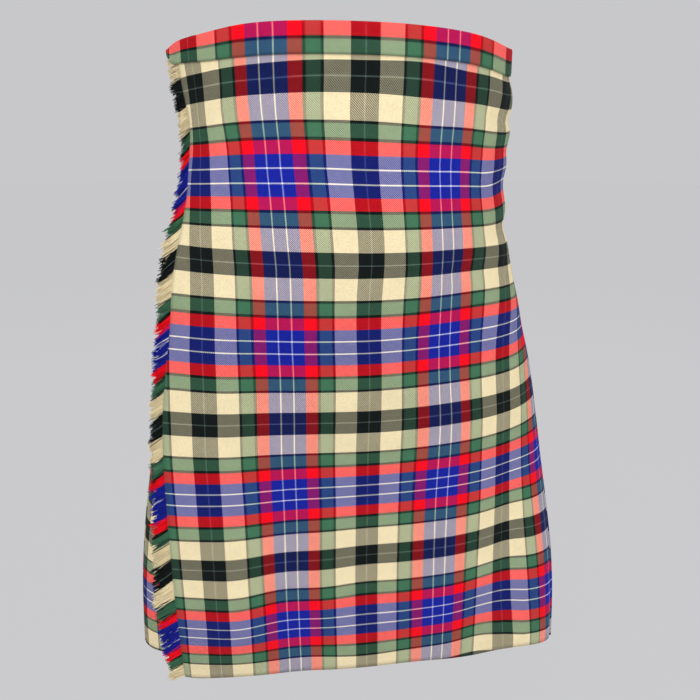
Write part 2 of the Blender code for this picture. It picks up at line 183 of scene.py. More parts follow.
def foldOut(drop, along, edge, pleat):
    # How far the soft folds move the cloth out at distances along it
    away = (along[:, None] - fold["along"]) / fold["width"]
    out = np.sum(foldHeights(fold, drop) * np.exp(-away ** 2), axis=1)
    away = ((along[:, None] - edge) / pleat - sideFold["pleat"]) / sideFold["width"]
    out += np.sum(foldHeights(sideFold, drop) * np.exp(-away ** 2), axis=1)
    swell = smoothCurve(rightSide["drops"], rightSide["out"], drop) / 1000
    return out + swell * np.exp(-((along - rightSide["along"]) / rightSide["width"]) ** 2)


@lru_cache(maxsize=None)
def clothLine(drop):
    # The line of the cloth in plan at one drop: its points, their normals and distances
    get = {name: sectionValue(name, drop) for name in sectionColumns[1:]}
    side, front = get["side"], get["front"]
    under = front + get["part"]
    wing = quarterRound(get["wingHalf"], side - front, get["wingPower"])
    half = get["half"] - np.interp(drop, rightSide["trimDrops"], rightSide["trims"])
    right = quarterRound(half, side - front, get["power"])
    rearRight = quarterRound(half, get["back"] - side, kilt["rearPower"])
    rear = quarterRound(get["half"], get["back"] - side, kilt["rearPower"])
    left = quarterRound(get["half"], side - under, kilt["underPower"])
    inner = quarterRound(get["half"] - kilt["endInside"], side - under, get["power"])
    stretches = (
        (-wing[0][::-1], side - wing[1][::-1]),
        (right[0], side - right[1]),
        (rearRight[0][::-1], side + rearRight[1][::-1]),
        (-rear[0], side + rear[1]),
        (-left[0][::-1], side - left[1][::-1]),
        (inner[0], side - inner[1]),
    )
    x = np.concatenate([stretch[0][1:] for stretch in stretches])
    y = np.concatenate([stretch[1][1:] for stretch in stretches])
    nose = len(wing[0]) - 2
    leftSide = nose + len(right[0]) + 2 * len(rear[0]) - 3
    underNose = leftSide + len(left[0]) - 1
    along = distances(x, y, nose)
    pleat = (along[leftSide] - kilt["lastPleatBack"] - get["rightEdge"]) / kilt["pleats"]
    out = foldOut(drop, along, get["rightEdge"], pleat)
    travel = np.hypot(np.gradient(x), np.gradient(y))
    x, y = x + out * np.gradient(y) / travel, y - out * np.gradient(x) / travel
    along = distances(x, y, nose)
    even = np.arange(along[0], along[-1], 0.002)
    evenX, evenY = np.interp(even, along, x), np.interp(even, along, y)
    goX, goY = np.gradient(evenX), np.gradient(evenY)
    travel = np.hypot(goX, goY)
    return {
        "along": even, "x": evenX, "y": evenY, "outX": goY / travel, "outY": -goX / travel,
        "leftSide": along[leftSide], "underNose": along[underNose],
    }


def heights(drop, along):
    fade = max(0.0, 1 - drop / dipEnd)
    away = (along[:, None] - dip["along"]) / dip["width"]
    dips = np.sum(dip["depth"] * np.exp(-away ** 2), axis=1)
    line = clothLine(round(float(drop), 6))
    side = line["leftSide"]
    away = (along[:, None] - line["underNose"] - dip["along"]) / dip["width"]
    dips = fade * (dips + np.sum(dip["depth"] * (dip["along"] > 0) * np.exp(-away ** 2), axis=1))
    past = (along - side - sideSag["past"]) / sideSag["width"]
    away = (along[:, None] - sag["along"]) / sag["width"]
    lower = sideSag["depth"] * np.exp(-past ** 2) + np.sum(sag["depth"] * np.exp(-away ** 2), axis=1)
    return top - drop - dips - lower * (drop / kilt["length"]) ** sideSag["power"]


def places(drop, along, out):
    # Points of the cloth at distances along it and out of it, all at one drop
    along, out = np.asarray(along, float), np.asarray(out, float)
    line = clothLine(round(float(drop), 6))
    x, y, outX, outY = (np.interp(along, line["along"], line[k]) for k in ("x", "y", "outX", "outY"))
    return np.stack([x + out * outX, y + out * outY, heights(drop, along)], axis=1)


# How far in from its solid's edge the fringed edge of the cloth is, in millimetres
fringedEdge = {
    "drops": (0.0, 0.012, 0.030, 0.050, 0.070, 0.090, 0.110, 0.130, 0.150, 0.170, 0.210, 0.240,
              0.280, 0.320, 0.360, 0.400, 0.620),
    "inset": (4.5, 5.5, 7.0, 8.0, 8.2, 6.6, 6.4, 6.8, 5.0, 3.2, 2.2, 3.4, 1.8, 0.0, 0.0, 0.8, 0.0),
}


def leftEdge(drop):
    return -sectionValue("leftEdge", drop)


def clothEdge(drop):
    # Where the yarns of the front cloth come free
    return leftEdge(drop) + float(smoothCurve(fringedEdge["drops"], fringedEdge["inset"], drop)) / 1000


def rightEdge(drop):
    return sectionValue("rightEdge", drop)


def apronEdge(drop):
    # The pressed right edge of the front apron, which hides some of the first pleat
    return rightEdge(drop) + float(smoothCurve(rightSide["edgeDrops"], rightSide["edges"], drop))


def pleatWidth(drop):
    last = clothLine(round(float(drop), 6))["leftSide"] - kilt["lastPleatBack"]
    return (last - rightEdge(drop)) / kilt["pleats"]


def pleatStart(drop, number):
    return rightEdge(drop) + pleatWidth(drop) * number


print("stage: sections ready")


class Wire:
    # A socket with Python's operators: each one adds a Math node
    def __init__(self, tree, socket):
        self.tree, self.socket = tree, socket

    def math(self, operation, first, second=None):
        inputs = {0: first} if second is None else {0: first, 1: second}
        return addNode(self.tree, "ShaderNodeMath", {"operation": operation}, inputs)

    def __add__(self, other):
        return self.math("ADD", self, other)

    def __radd__(self, other):
        return self.math("ADD", other, self)

    def __sub__(self, other):
        return self.math("SUBTRACT", self, other)

    def __rsub__(self, other):
        return self.math("SUBTRACT", other, self)

    def __mul__(self, other):
        return self.math("MULTIPLY", self, other)

    def __rmul__(self, other):
        return self.math("MULTIPLY", other, self)

    def __truediv__(self, other):
        return self.math("DIVIDE", self, other)

    def __lt__(self, other):
        return self.math("LESS_THAN", self, other)

    def floor(self):
        return self.math("FLOOR", self)

    def fraction(self):
        return self.math("FRACT", self)

    def pingpong(self, scale):
        return self.math("PINGPONG", self, scale)


def addNode(tree, kind, settings=None, inputs=None, output=0):
    # Any node: its settings first, then the values or wires of its sockets
    node = tree.nodes.new(kind)
    for name, setting in (settings or {}).items():
        if name == "stops":
            fillRamp(node.color_ramp, setting)
        else:
            setattr(node, name, setting)
    for name, given in (inputs or {}).items():
        if isinstance(given, Wire):
            tree.links.new(given.socket, node.inputs[name])
        else:
            node.inputs[name].default_value = given
    return Wire(tree, node.outputs[output])


def fillRamp(ramp, stops):
    ramp.interpolation = "CONSTANT"
    for index, (place, colour) in enumerate(stops):
        stop = ramp.elements[index] if index < 2 else ramp.elements.new(place)
        stop.position = place
        stop.color = (*colour, 1)


def newMaterial(name, roughness, **fixed):
    material = bpy.data.materials.new(name)
    material.use_nodes = True
    shader = material.node_tree.nodes["Principled BSDF"]
    shader.inputs["Roughness"].default_value = roughness
    for socket, given in fixed.items():
        shader.inputs[socket.replace("_", " ")].default_value = given
    return material, material.node_tree, shader


def feed(tree, wire, shader, socket):
    tree.links.new(wire.socket, shader.inputs[socket])


# The tartan. Half a repeat runs from the middle of a black stripe (0) to the middle of a blue
# one (1), and it is the same in both directions. Stripes are shares of that half.
tartan = {
    "halfRepeat": 0.0735,
    "firstBlack": 0.041,
    "thread": 0.00045,
    "stripes": (
        (0.000, "paleLine"),
        (0.006, "black"),
        (0.150, "cream"),
        (0.415, "black"),
        (0.449, "green"),
        (0.595, "black"),
        (0.629, "red"),
        (0.777, "blue"),
        (0.913, "white"),
        (0.926, "blue"),
    ),
    "yarns": {
        "paleLine": (0.080, 0.110, 0.095),
        "black": (0.0064, 0.0092, 0.0088),
        "cream": (0.830, 0.705, 0.438),
        "green": (0.0530, 0.1600, 0.0860),
        "red": (1.110, 0.0040, 0.0140),
        "blue": (0.0090, 0.0165, 0.2980),
        "white": (0.88, 0.86, 0.86),
    },
    "mixPower": 0.125,
    "brightest": 0.90,
    "weftShare": 0.590,
    "weaveContrast": 0.33,
}


def yarnColour(tree, distance):
    # The yarn at a distance across the stripes, raised to the mixing power
    share = (distance / tartan["halfRepeat"]).pingpong(1.0)
    power = tartan["mixPower"]
    stops = [
        (place, tuple(channel ** power for channel in tartan["yarns"][yarn]))
        for place, yarn in tartan["stripes"]
    ]
    return addNode(tree, "ShaderNodeValToRGB", {"stops": stops}, {"Fac": share})


def colourMath(tree, operation, first, second):
    settings = {"operation": operation}
    return addNode(tree, "ShaderNodeVectorMath", settings, {0: first, 1: second})


def backToColour(tree, mixed):
    # Undoes the mixing power of an eighth and keeps the colour in a cloth's range
    colour = mixed
    for _ in range(3):
        colour = colourMath(tree, "MULTIPLY", colour, colour)
    limit = tartan["brightest"]
    return colourMath(tree, "MINIMUM", colour, (limit, limit, limit))


def relief(tree, shader, height, strength, distance):
    inputs = {"Strength": strength, "Distance": distance, "Height": height}
    feed(tree, addNode(tree, "ShaderNodeBump", None, inputs), shader, "Normal")


def between(tree, factor, first, second):
    # A colour between two others
    inputs = {"Factor": factor, 6: first, 7: second}
    return addNode(tree, "ShaderNodeMix", {"data_type": "RGBA"}, inputs, 2)


def objectNoise(tree, scale, detail):
    spot = addNode(tree, "ShaderNodeTexCoord", None, None, 3)
    inputs = {"Vector": spot, "Scale": scale, "Detail": detail}
    return addNode(tree, "ShaderNodeTexNoise", None, inputs)


def scaled(tree, colour, factor):
    return addNode(tree, "ShaderNodeVectorMath", {"operation": "SCALE"}, {0: colour, "Scale": factor})


# How bright the wool is, how much it varies from place to place and from thread to thread, and
# how far the threads stand up
wool = {
    "tone": 0.78,
    "mottle": 0.16,
    "mottleScale": 45.0,
    "slub": 0.28,
    "roughness": 0.80,
    "roughnessSpread": 0.12,
    "bump": 0.35,
    "threadRelief": 0.0002,
}


def threadBulge(count):
    # 1 along the middle of each thread and 0 between two
    away = count.fraction() * 2 - 1
    return 1 - away * away


def tartanCloth():
    # Twilled wool: the warp's stripes run down, the weft's run across, and the yarns on top
    # step along a diagonal from the upper left to the lower right
    fixed = {"Sheen_Weight": 0.02, "Sheen_Roughness": 0.5, "Specular_IOR_Level": 0.04}
    material, tree, shader = newMaterial("tartan wool", 0.86, **fixed)
    cloth = addNode(tree, "ShaderNodeUVMap", {"uv_map": "cloth"})
    along = addNode(tree, "ShaderNodeSeparateXYZ", None, {0: cloth}, 0)
    down = addNode(tree, "ShaderNodeSeparateXYZ", None, {0: cloth}, 1)
    warp = yarnColour(tree, along)
    weft = yarnColour(tree, down)
    across, downward = along / tartan["thread"], down / tartan["thread"]
    diagonal = ((across.floor() - downward.floor()) / 4).fraction()
    weftOnTop = diagonal < 0.5
    contrast = tartan["weaveContrast"]
    share = tartan["weftShare"] - contrast + weftOnTop * (2 * contrast)
    colour = backToColour(tree, between(tree, share, warp, weft))
    mottle = objectNoise(tree, wool["mottleScale"], 3.0)
    slub = addNode(tree, "ShaderNodeTexWhiteNoise", {"noise_dimensions": "2D"}, {
        "Vector": addNode(tree, "ShaderNodeCombineXYZ", None, {0: across.floor(), 1: downward.floor()})
    })
    colour = scaled(tree, colour, wool["tone"] + mottle * wool["mottle"] + slub * wool["slub"])
    feed(tree, colour, shader, "Base Color")
    warpBulge, weftBulge = threadBulge(across), threadBulge(downward)
    height = warpBulge * (1 - weftOnTop) + weftBulge * weftOnTop
    relief(tree, shader, height, wool["bump"], wool["threadRelief"])
    feed(tree, wool["roughness"] + slub * wool["roughnessSpread"], shader, "Roughness")
    return material


looseYarn = {
    "tone": 0.66,
    "ply": 0.34,
    "plyScale": 900.0,
    "each": 0.26,
    "eachRow": 0.0005,
    "roughness": 0.82,
    "roughnessSpread": 0.15,
    "bump": 0.4,
    "relief": 0.0002,
}


def fringeYarn():
    # Loose weft yarn, coloured by the row that it comes from
    fixed = {"Sheen_Weight": 0.03, "Sheen_Roughness": 0.5, "Specular_IOR_Level": 0.05}
    material, tree, shader = newMaterial("fringe yarn", 0.9, **fixed)
    row = addNode(tree, "ShaderNodeAttribute", {"attribute_name": "rowDrop"}, None, 2)
    colour = backToColour(tree, yarnColour(tree, row))
    ply = objectNoise(tree, looseYarn["plyScale"], 2.0)
    number = (row / looseYarn["eachRow"]).floor()
    each = addNode(tree, "ShaderNodeTexWhiteNoise", {"noise_dimensions": "1D"}, {"W": number})
    tone = looseYarn["tone"] + ply * looseYarn["ply"] + each * looseYarn["each"]
    feed(tree, scaled(tree, colour, tone), shader, "Base Color")
    relief(tree, shader, ply, looseYarn["bump"], looseYarn["relief"])
    feed(tree, looseYarn["roughness"] + ply * looseYarn["roughnessSpread"], shader, "Roughness")
    return material


leather = {
    "dark": (0.004, 0.0036, 0.0035, 1),
    "worn": (0.026, 0.022, 0.020, 1),
    "wearScale": 70.0,
    "grainScale": 1100.0,
    "grainBump": 0.8,
    "grainRelief": 0.0003,
    "roughness": 0.40,
    "roughnessSpread": 0.26,
}


def strapLeather():
    fixed = {"Coat_Weight": 0.08, "Coat_Roughness": 0.30, "Specular_IOR_Level": 0.28}
    material, tree, shader = newMaterial("black leather", 0.5, **fixed)
    spot = addNode(tree, "ShaderNodeTexCoord", None, None, 3)
    pores = {"Vector": spot, "Scale": leather["grainScale"]}
    grain = addNode(tree, "ShaderNodeTexVoronoi", {"feature": "DISTANCE_TO_EDGE"}, pores)
    wear = objectNoise(tree, leather["wearScale"], 5.0)
    feed(tree, between(tree, wear, leather["dark"], leather["worn"]), shader, "Base Color")
    feed(tree, leather["roughness"] + wear * leather["roughnessSpread"], shader, "Roughness")
    relief(tree, shader, grain, leather["grainBump"], leather["grainRelief"])
    return material


nickel = {
    "bright": (0.78, 0.76, 0.72, 1),
    "dull": (0.58, 0.56, 0.53, 1),
    "scuffScale": 420.0,
    "roughness": 0.16,
    "roughnessSpread": 0.22,
}


def buckleMetal():
    material, tree, shader = newMaterial("nickel", 0.25, Metallic=1.0)
    scuff = objectNoise(tree, nickel["scuffScale"], 6.0)
    feed(tree, between(tree, scuff, nickel["bright"], nickel["dull"]), shader, "Base Color")
    feed(tree, nickel["roughness"] + scuff * nickel["roughnessSpread"], shader, "Roughness")
    return material


waxedThread = {"dark": (0.10, 0.09, 0.08, 1), "light": (0.30, 0.28, 0.24, 1), "twistScale": 2500.0}


def sewingThread():
    material, tree, shader = newMaterial("waxed thread", 0.7)
    twist = objectNoise(tree, waxedThread["twistScale"], 1.0)
    feed(tree, between(tree, twist, waxedThread["dark"], waxedThread["light"]), shader, "Base Color")
    return material


clothMaterial = tartanCloth()
yarnMaterial = fringeYarn()
leatherMaterial = strapLeather()
metalMaterial = buckleMetal()
threadMaterial = sewingThread()
print("stage: materials ready")


def addMesh(name, points, faces, material):
    mesh = bpy.data.meshes.new(name)
    mesh.from_pydata([tuple(p) for p in points], [], faces)
    mesh.materials.append(material)
    made = bpy.data.objects.new(name, mesh)
    bpy.context.scene.collection.objects.link(made)
    return made


def sheetOfCloth(name, drops, path, pattern, thickness, material=clothMaterial, lift=None):
    # A grid of points: one row for each drop, one column for each point of the path. Pattern
    # gives where in the tartan each point of a row is.
    points, marks = [], []
    for drop in drops:
        along, out = path(drop)
        points.append(places(drop, along, out))
        if lift:
            points[-1][:, 2] += lift(drop, along)
        across, down = pattern(drop, np.asarray(along, float))
        marks.append(np.stack([across, np.broadcast_to(down, across.shape)], axis=1))
    wide = len(points[0])
    faces = [
        (row * wide + k, (row + 1) * wide + k, (row + 1) * wide + k + 1, row * wide + k + 1)
        for row in range(len(drops) - 1)
        for k in range(wide - 1)
    ]
    made = addMesh(name, np.concatenate(points), faces, material)
    marks = np.concatenate(marks)
    layer = made.data.uv_layers.new(name="cloth")
    corners = np.zeros(len(made.data.loops), int)
    made.data.loops.foreach_get("vertex_index", corners)
    layer.data.foreach_set("uv", marks[corners].astype(np.float32).ravel())
    made.data.shade_smooth()
    solid = made.modifiers.new("thickness", "SOLIDIFY")
    solid.thickness = thickness
    solid.offset = 0
    solid.use_even_offset = True
    return made


def pieceOfCloth(piece, nodes):
    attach(piece, "root")
    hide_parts(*nodes)


def rounded(points, steps):
    # Points between the corners of a path, as many in each stretch as steps says
    along, out = [], []
    for (a, b), count in zip(zip(points, points[1:]), steps):
        for k in range(count):
            along.append(a[0] + (b[0] - a[0]) * k / count)
            out.append(a[1] + (b[1] - a[1]) * k / count)
    along.append(points[-1][0])
    out.append(points[-1][1])
    return np.array(along), np.array(out)


def knifeEdge(edge, width):
    # The pressed edge of a pleat and the hidden layer that goes back under it
    nose, layer, steps = kilt["layer"] / 2, kilt["layer"], kilt["turnSteps"]
    turn = [(edge - nose + nose * math.sin(a), -nose + nose * math.cos(a)) for a in
            (math.pi * k / steps for k in range(steps + 1))]
    back = [(edge - width / 2, -layer - kilt["stepIn"] / 2), (edge - width, -layer - kilt["stepIn"])]
    return turn + back


# How the tartan lies on the apron. The middle black stripe shifts a little with the drop, and
# the cloth's stripes drift from a straight grid, in millimetres, at these places on it. A
# crease moves them sideways at one drop and a gather at the right moves them down.
apronPattern = {
    "crease": {"shift": 0.0032, "drop": 0.197, "depth": 0.010, "from": 0.072, "blend": 0.010},
    "gather": {"shift": 0.010, "along": 0.165, "width": 0.040, "drop": 0.125, "depth": 0.045},
    "shiftDrops": (0.0, 0.11, 0.19, 0.26, 0.335, 0.62),
    "shifts": (-0.005, -0.005, 0.0, 0.0, 0.003, 0.004),
    "alongs": (-0.165, -0.130, -0.090, -0.045, 0.000, 0.045, 0.090, 0.125, 0.155, 0.185),
    "drops": (0.006, 0.035, 0.065, 0.095, 0.130, 0.170, 0.220, 0.280, 0.350, 0.430, 0.520, 0.610),
    "across": (
        (1.4, 4.0, 4.0, 1.6, -1.3, -1.6, -3.2, -8.2, -15.5, -18.0),
        (-4.0, 1.7, 4.3, 1.7, -1.3, -1.3, -1.0, -5.8, -10.0, -12.4),
        (-6.2, 1.8, 3.4, 2.3, 0.0, 0.4, 0.2, -1.4, 0.3, 0.0),
        (-7.1, -3.2, 0.6, 1.1, 0.4, 2.5, 3.0, 1.2, -0.4, -0.4),
        (-6.0, -5.3, -0.9, 0.1, 0.0, 3.1, 5.1, 2.9, 0.9, 1.3),
        (-5.1, -4.1, -0.8, 0.1, -1.0, 2.8, 4.2, -0.9, -6.3, -6.2),
        (-4.4, -4.1, -1.2, -0.5, 1.7, 3.6, 7.1, 3.6, 1.9, 3.0),
        (-0.5, -2.2, -1.3, -1.1, -0.4, 2.6, 5.8, 9.6, 12.8, 16.6),
        (2.8, 1.0, 1.1, 0.6, 0.6, 0.6, 0.4, 4.8, 9.7, 12.9),
        (3.0, 0.7, 0.4, -0.8, -0.2, 0.5, -0.1, 0.3, 3.3, 7.1),
        (3.1, 0.8, 0.4, -0.4, -0.4, 0.0, -1.3, -0.7, -2.2, -3.1),
        (3.0, -0.3, -1.4, -2.4, -2.9, -3.2, -4.3, -3.4, -9.1, -12.5),
    ),
    "down": (
        (-0.7, -0.6, 0.7, 1.6, 2.5, 4.5, -1.9, -1.8, -1.0, -2.1),
        (-0.4, 0.0, -0.4, 1.3, 1.4, 1.6, -0.4, 0.6, 0.3, 0.8),
        (-1.6, -1.2, -1.5, -1.3, -2.0, -4.0, -4.2, -4.5, -4.5, -3.0),
        (0.1, -0.4, -1.0, -1.3, -2.7, -3.4, -3.6, -5.1, -6.0, -4.5),
        (0.0, -0.6, -1.9, -2.4, -3.6, -4.0, -4.3, -6.3, -7.3, -5.7),
        (4.8, 2.6, 0.8, -0.6, -1.9, -1.9, -1.4, -2.7, -4.8, -4.2),
        (5.3, 4.1, 2.5, 1.3, 0.6, 1.6, 3.6, 3.4, 2.6, 1.7),
        (4.0, 2.4, 2.8, 1.5, 0.9, 2.4, 4.2, 4.6, 5.5, 7.6),
        (1.9, 1.2, 2.3, 1.7, 0.7, 1.2, 3.4, 5.2, 6.6, 8.2),
        (-1.1, -0.9, 0.2, 0.5, 2.0, 2.7, 4.2, 5.9, 6.9, 6.4),
        (-0.9, -1.8, 0.8, -1.3, 3.1, 2.6, 4.6, 8.1, 7.5, 4.7),
        (-1.5, -3.0, -3.5, -3.7, -6.3, -4.6, -1.4, 3.1, -2.6, -7.2),
    ),
}


def drift(name, drop, along):
    table = np.array(apronPattern[name])
    row = [smoothCurve(apronPattern["drops"], column, drop) for column in table.T]
    return smoothCurve(apronPattern["alongs"], row, along) / 1000


def apronMarks(drop, along):
    # Where in the tartan the points of a row of the apron are
    crease, gather = apronPattern["crease"], apronPattern["gather"]
    shift = np.interp(drop, apronPattern["shiftDrops"], apronPattern["shifts"])
    across = along - shift + drift("across", drop, along)
    right = 1 / (1 + np.exp((crease["from"] - along) / crease["blend"]))
    near = np.exp(-((drop - crease["drop"]) / crease["depth"]) ** 2)
    across = across + crease["shift"] * near * right
    farAlong = ((along - gather["along"]) / gather["width"]) ** 2
    farDown = ((drop - gather["drop"]) / gather["depth"]) ** 2
    gathered = gather["shift"] * np.exp(-farAlong - farDown)
    return across, drop - tartan["firstBlack"] + gathered + drift("down", drop, along)


def evenDrops(first=0.0, last=None, rows=None):
    last = kilt["length"] if last is None else last
    return np.linspace(first, last, (kilt["rows"] if rows is None else rows) + 1)


apron = {"columns": 92, "turnedBackColumns": [4, 3], "flatWidth": 0.43}


def makeFrontApron():
    def path(drop):
        start = (clothEdge(drop), 0)
        turn = knifeEdge(apronEdge(drop), pleatWidth(drop))
        steps = [apron["columns"]] + [1] * kilt["turnSteps"] + apron["turnedBackColumns"]
        return rounded([start] + turn, steps)

    return sheetOfCloth("frontApronCloth", evenDrops(), path, apronMarks, kilt["cloth"])


def pleatMarks(number):
    # Pleated to the sett: at the hip each face takes up the tartan where the last one left off
    hip = kilt["hipDrop"]
    shown = rightEdge(hip) + pleatWidth(hip) * (number + 1)

    def pattern(drop, along):
        edge = pleatStart(drop, number + 1)
        return shown - (edge - along), drop - tartan["firstBlack"] + 0 * along

    return pattern


# Below the stitched part each pleat's edge stands off and wanders by its own amount. Reach is
# how much of the pleat's width moves with its edge.
pleatEdges = {
    "free": 0.21,
    "standOff": 0.0045,
    "growth": 1.3,
    "wander": 0.0016,
    "swayTurn": 6,
    "reach": 1.1,
    "reachPower": 1.5,
    "firstShare": 0.3,
    "seed": 5,
    "hiddenColumns": [2, 2],
    "faceColumns": [8],
    "turnedBackColumns": [3, 2],
    "flatWidth": 0.097,
    "firstFlatWidth": 0.055,  # the apron covers most of the first pleat
}
edgeChance = np.random.default_rng(pleatEdges["seed"])
standOffs = edgeChance.uniform(0.1, 1.0, kilt["pleats"]) * pleatEdges["standOff"]
wanders = edgeChance.uniform(-1.0, 1.0, kilt["pleats"]) * pleatEdges["wander"]
bends = edgeChance.uniform(0.0, 2 * math.pi, kilt["pleats"])


def makePleat(number):
    def path(drop):
        start = pleatStart(drop, number) if number else apronEdge(drop)
        end = pleatStart(drop, number + 1)
        width, stepIn = end - start, kilt["stepIn"]
        hidden = [(start - width, -2 * stepIn), (start - width / 2, -1.5 * stepIn), (start, -stepIn)]
        steps = pleatEdges["hiddenColumns"] + pleatEdges["faceColumns"] + [1] * kilt["turnSteps"]
        steps += pleatEdges["turnedBackColumns"]
        along, out = rounded(hidden + knifeEdge(end, width), steps)
        free = max(0.0, (drop - pleatEdges["free"]) / (kilt["length"] - pleatEdges["free"]))
        near = np.clip(1 - (end - along) / (pleatEdges["reach"] * width), 0, 1)
        near = near ** pleatEdges["reachPower"] * (1 if number else pleatEdges["firstShare"])
        sway = wanders[number] * math.sin(pleatEdges["swayTurn"] * free + bends[number])
        standOff = standOffs[number] * free ** pleatEdges["growth"]
        return along + sway * free * near, out + standOff * near

    name = "pleatCloth_%02d" % (number + 1)
    return sheetOfCloth(name, evenDrops(), path, pleatMarks(number), kilt["cloth"])


underSettings = {"hiddenColumns": [2, 2], "columns": 84, "stripePast": 0.017, "flatWidth": 0.425}


def underPath(drop):
    line = clothLine(round(float(drop), 6))
    edge, width = pleatStart(drop, kilt["pleats"]), pleatWidth(drop)
    end, stepIn = line["underNose"] + kilt["underEnd"], kilt["stepIn"]
    hidden = [(edge - width, -2 * stepIn), (edge - width / 2, -1.5 * stepIn)]
    steps = underSettings["hiddenColumns"] + [underSettings["columns"]]
    return rounded(hidden + [(edge, -stepIn), (end, -stepIn)], steps)


def underMarks(drop, along):
    # A black stripe runs down the left side
    side = clothLine(round(float(drop), 6))["leftSide"]
    return along - side - underSettings["stripePast"], drop - tartan["firstBlack"] + 0 * along


frontApron = makeFrontApron()
pleats = [makePleat(number) for number in range(kilt["pleats"])]
underApron = sheetOfCloth("underApronCloth", evenDrops(), underPath, underMarks, kilt["cloth"])
print("stage: aprons and pleats ready")

bandSettings = {
    "pastEdge": 0.014,
    "out": 0.0015,
    "topShare": 0.777,
    "rows": 9,
    "columns": 190,
    "driftDrop": 0.006,
    "taperAlongs": (-0.194, -0.189, -0.184, -0.176, -0.165, -0.150, -0.130, -0.100, 1.0),
    "taperShares": (0.85, 0.66, 0.44, 0.27, 0.21, 0.16, 0.07, 0.0, 0.0),
    "flatLength": 0.82,
    "underFlatLength": 0.335,
}


def bandMarks(drop, along):
    # The band shows red over green, with a black guard line between them
    start = bandSettings["topShare"] * tartan["halfRepeat"]
    across = along - apronPattern["shifts"][0] + drift("across", bandSettings["driftDrop"], along)
    return across, start - drop + 0 * along


def bandPath(drop):
    first = leftEdge(drop) - bandSettings["pastEdge"]
    last = pleatStart(drop, kilt["pleats"])
    along = np.linspace(first, last, bandSettings["columns"])
    return along, np.full(len(along), bandSettings["out"])


def underBandPath(drop):
    # The band starts where the under apron comes out from behind the last pleat
    along, out = underPath(drop)
    hidden = sum(underSettings["hiddenColumns"])
    return along[hidden:], out[hidden:] + bandSettings["out"]


def bandLift(drop, along):
    # The band gets narrower towards its end over the fringe
    return drop * np.interp(along, bandSettings["taperAlongs"], bandSettings["taperShares"])


bandDrops = evenDrops(0.0, kilt["bandHeight"], bandSettings["rows"])
waistband = sheetOfCloth(
    "waistbandCloth", bandDrops, bandPath, bandMarks, kilt["cloth"], lift=bandLift)
underWaistband = sheetOfCloth(
    "underWaistbandCloth", bandDrops, underBandPath, bandMarks, kilt["cloth"])
print("stage: waistbands ready")

# The loose weft yarns: how many, how they vary and gather in tufts, where they start and end,
# and how far they droop and reach from drop to drop. The mat is their dense inner part.
fringe = {
    "yarns": 4600,
    "lengthSpread": 0.16,
    "longestShare": 0.8,
    "usualLength": 0.019,
    "thickness": 0.00042,
    "taper": 0.45,
    "tuft": 0.0058,
    "gatherTips": 0.16,
    "waySpread": 0.07,
    "depthSpread": 0.0007,
    "strayRows": 0.0022,
    "roll": 0.9,
    "curlUp": 0.05,
    "curlDown": -0.07,
    "start": 0.011,
    "end": 0.617,
    "inFromEdge": 0.003,
    "aimFrom": 0.012,
    "linePoints": 200,
    "behind": -0.0012,
    "drops": (0.011, 0.040, 0.080, 0.110, 0.155, 0.195, 0.225, 0.350, 0.420, 0.500, 0.570, 0.600,
              0.617),
    "droops": (0.00, 0.15, 0.60, 0.80, 0.76, 0.72, 0.71, 0.70, 0.72, 0.74, 0.74, 0.60, 0.45),
    "lengths": (0.010, 0.0065, 0.0085, 0.0115, 0.0185, 0.0185, 0.0150, 0.0160, 0.016, 0.023, 0.021,
                0.0165, 0.0185),
    "matRows": 620,
    "matColumns": 7,
    "matShare": 0.84,
    "matThickness": 0.0006,
    "matRagged": 0.10,
    "matSag": -0.10,
    "matRise": 0.0005,
    "matRipple": 0.0003,
    "rippleRows": 9,
    "seed": 11,
}


def fringeRoot(drop):
    # Where the yarns leave the cloth at one drop, which way and how far they go
    edge = clothEdge(drop)
    alongs = [edge + fringe["inFromEdge"], edge + fringe["aimFrom"]]
    root = places(drop, alongs, [fringe["behind"]] * 2)
    away = root[0] - root[1]
    away[2] = 0
    away /= np.linalg.norm(away)
    away[2] = -np.interp(drop, fringe["drops"], fringe["droops"])
    reach = np.interp(drop, fringe["drops"], fringe["lengths"]) + fringe["inFromEdge"]
    reach += edge - leftEdge(drop)
    return root[0], away / np.linalg.norm(away), reach


def fringeRow(drop):
    # Where in the tartan the weft yarns of the apron's edge are
    return float(apronMarks(drop, np.array([clothEdge(drop)]))[1][0])


def addValues(mesh, name, values):
    made = mesh.attributes.new(name, "FLOAT", "POINT")
    made.data.foreach_set("value", np.asarray(values, np.float32))


def fringeLine():
    points, ways, rows, reaches = [], [], [], []
    for drop in np.linspace(fringe["start"], fringe["end"], fringe["linePoints"]):
        root, way, reach = fringeRoot(drop)
        points.append(root)
        ways.append(way)
        reaches.append(reach)
        rows.append(fringeRow(drop))
    mesh = bpy.data.meshes.new("fringe line")
    mesh.from_pydata([tuple(p) for p in points], [(k, k + 1) for k in range(len(points) - 1)], [])
    way = mesh.attributes.new("yarnWay", "FLOAT_VECTOR", "POINT")
    way.data.foreach_set("vector", np.array(ways, np.float32).ravel())
    addValues(mesh, "rowDrop", rows)
    addValues(mesh, "yarnReach", reaches)
    made = bpy.data.objects.new("fringeLine", mesh)
    bpy.context.scene.collection.objects.link(made)
    return made


